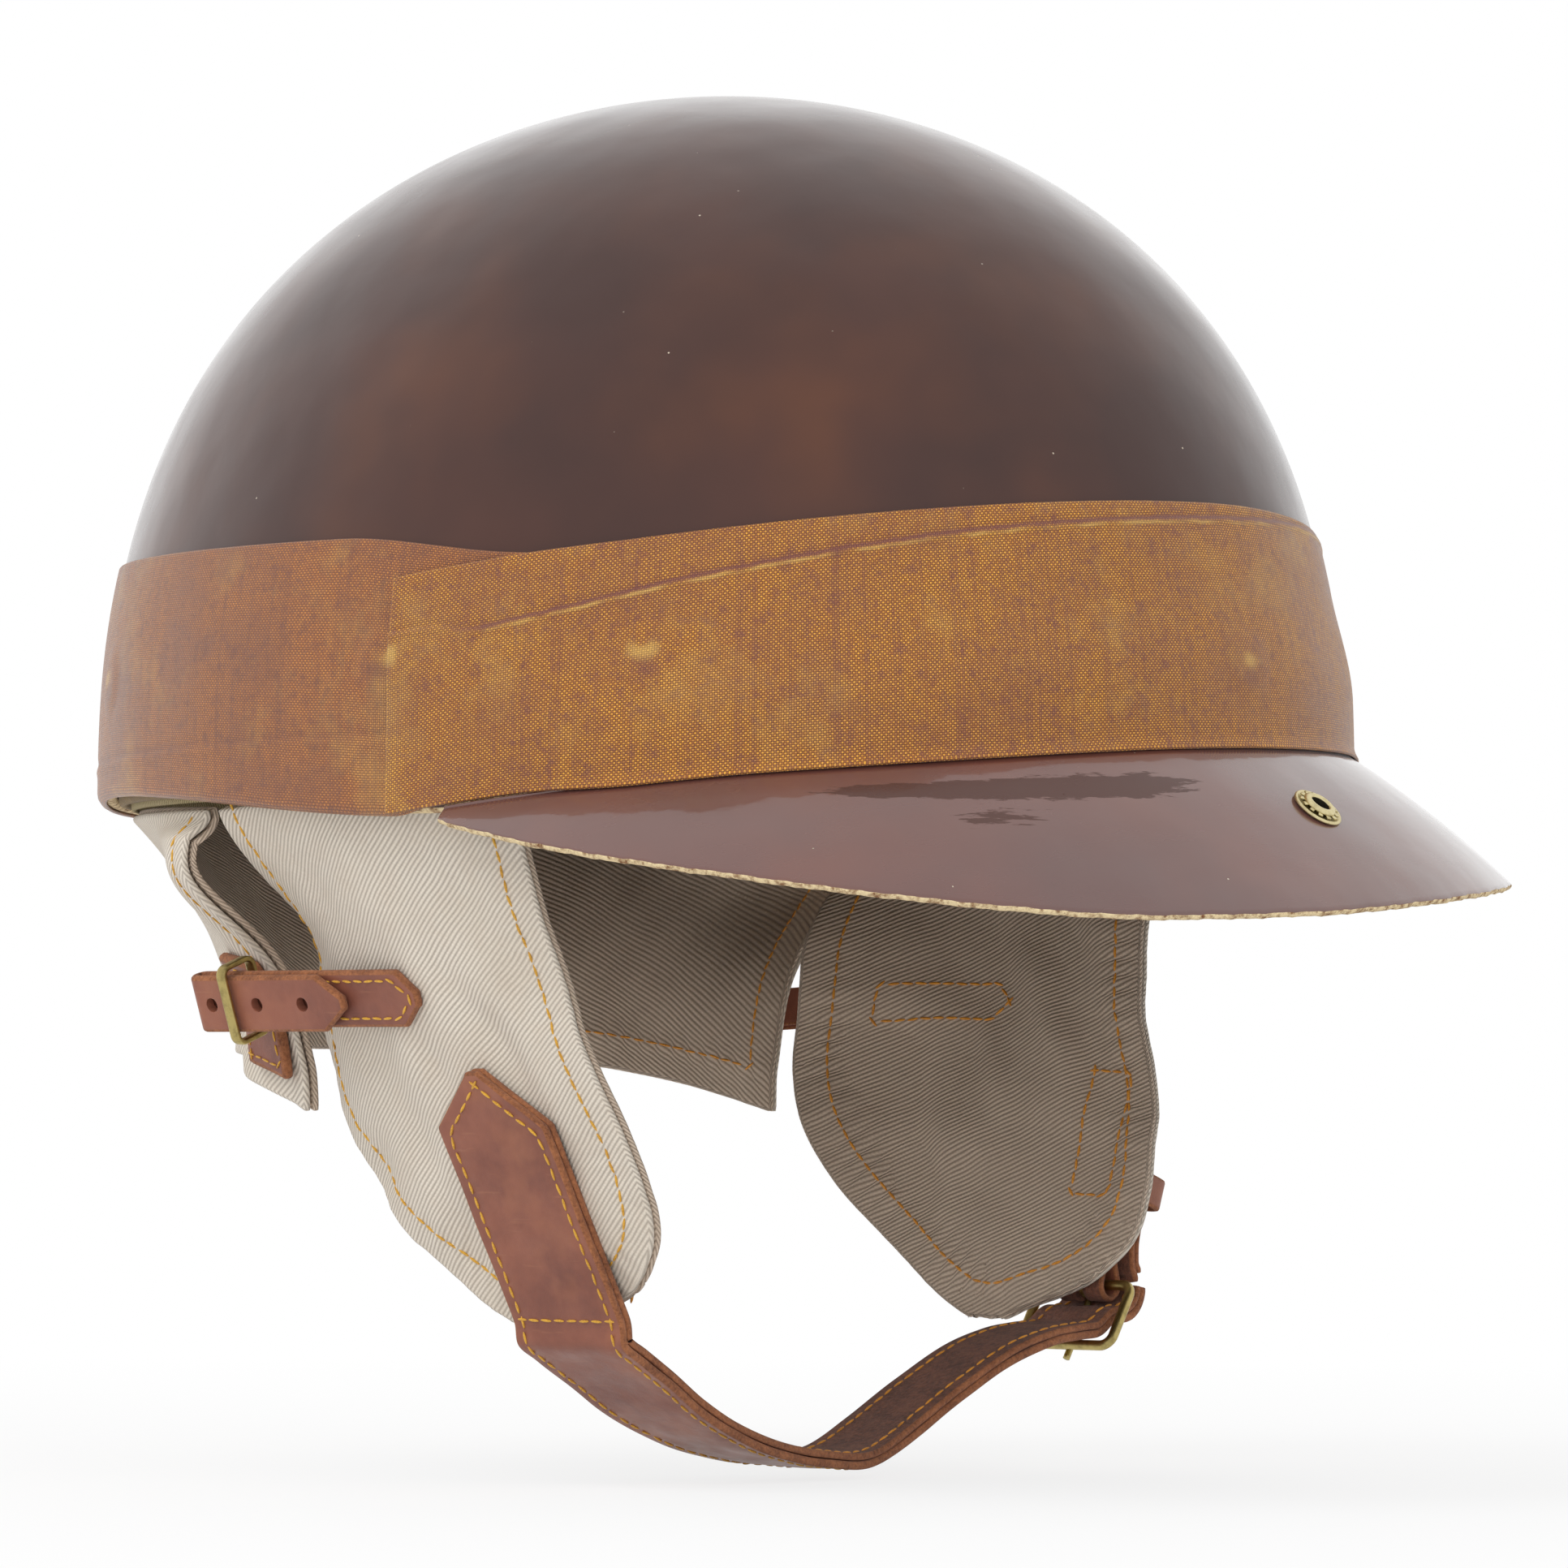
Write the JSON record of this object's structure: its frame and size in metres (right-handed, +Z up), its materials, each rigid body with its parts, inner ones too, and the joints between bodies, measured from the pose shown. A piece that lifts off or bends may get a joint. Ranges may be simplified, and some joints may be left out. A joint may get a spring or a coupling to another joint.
{
  "type": "racing helmet",
  "caption": "Pudding-basin racing helmet: lacquered dome with peak and linen bands, laced cradle inside, and a cloth skirt of two ear flaps and a neck curtain with a buckled chin strap.",
  "frame": {"origin": "centre of the shell's rim, where the helmet sits on a head or a head form", "axes": "+X forwards along the peak, +Y to the wearer's left, +Z up through the crown"},
  "size_m": [0.318, 0.2398, 0.2858],
  "materials": {
    "lacquered_fibre": "dark brown lacquer, glossy",
    "peak_fibre": "brown lacquer over straw-coloured fibre",
    "linen": "varnished linen",
    "felt": "felt",
    "twill": "cotton twill",
    "webbing": "cotton webbing",
    "strap_leather": "vegetable-tanned, waxed",
    "sweat_leather": "soft skiver",
    "brass": "antiqued"
  },
  "bodies": {
    "helmet": {"shell": "lacquered_fibre", "rear_band": "linen", "front_band": "linen", "peak": "peak_fibre", "peak_eyelet": "brass", "peak_eyelet_washer": "brass", "rim_felt": "felt", "skirt_heading": "webbing", "crown_pad": "felt", "cradle_tape_1": "webbing", "cradle_tape_2": "webbing", "cradle_tape_3": "webbing", "cradle_tape_4": "webbing", "cradle_tape_5": "webbing", "cradle_tape_6": "webbing", "cradle_tape_7": "webbing", "cradle_tape_8": "webbing", "crown_lace": "webbing", "headband": "sweat_leather", "sweatband": "sweat_leather", "spacer_pad_1": "felt", "spacer_pad_2": "felt", "spacer_pad_3": "felt", "spacer_pad_4": "felt", "spacer_pad_5": "felt", "spacer_pad_6": "felt", "harness_rivet_1": "brass", "harness_rivet_2": "brass", "harness_rivet_3": "brass", "harness_rivet_4": "brass", "harness_rivet_5": "brass", "harness_rivet_6": "brass", "harness_rivet_7": "brass", "harness_rivet_8": "brass", "neck_curtain": "twill", "neck_curtain_lining": "twill", "adjuster_patch_right": "strap_leather", "adjuster_patch_left": "strap_leather", "adjuster_loop_right": "strap_leather", "adjuster_loop_left": "strap_leather"},
    "right_flap": {"ear_flap_right": "twill", "ear_flap_right_lining": "twill", "chin_strap_anchor": "strap_leather", "adjuster_strap_right": "strap_leather", "adjuster_frame_right": "brass"},
    "left_flap": {"ear_flap_left": "twill", "ear_flap_left_lining": "twill", "chin_buckle_chape": "strap_leather", "chin_strap_tail": "strap_leather", "chin_strap_keeper": "strap_leather", "adjuster_strap_left": "strap_leather", "adjuster_frame_left": "brass"},
    "chin_strap": {"chin_strap_outer": "strap_leather", "chin_strap_inner": "strap_leather", "chin_buckle_frame": "brass"},
    "buckle_prong": {"chin_buckle_prong": "brass"}
  },
  "joints": [
    {"name": "flap_right_swing", "type": "hinge", "parent": "helmet", "child": "right_flap", "pos_m": [0, -0.1098, -0.0011], "axis": [1, 0, 0], "range_deg": [-4, 4], "deforming": ["adjuster_loop_right"]},
    {"name": "flap_left_swing", "type": "hinge", "parent": "helmet", "child": "left_flap", "pos_m": [0, 0.1098, -0.0011], "axis": [1, 0, 0], "range_deg": [-4.4, 4.4], "deforming": ["adjuster_loop_left"]},
    {"name": "chin_strap_bend", "type": "hinge", "parent": "right_flap", "child": "chin_strap", "pos_m": [0.028, -0.07615, -0.10623], "axis": [1, 0, 0], "range_deg": [-5.8, 5.8]},
    {"name": "prong_lift", "type": "hinge", "parent": "chin_strap", "child": "buckle_prong", "pos_m": [0.0375, 0.07932, -0.10014], "axis": [1, 0, 0], "range_deg": [0, 5]}
  ],
  "couplings": [
    {"joint": "flap_left_swing", "follows": "flap_right_swing", "ratio": 1.0878},
    {"joint": "chin_strap_bend", "follows": "flap_right_swing", "ratio": -1.4297}
  ]
}
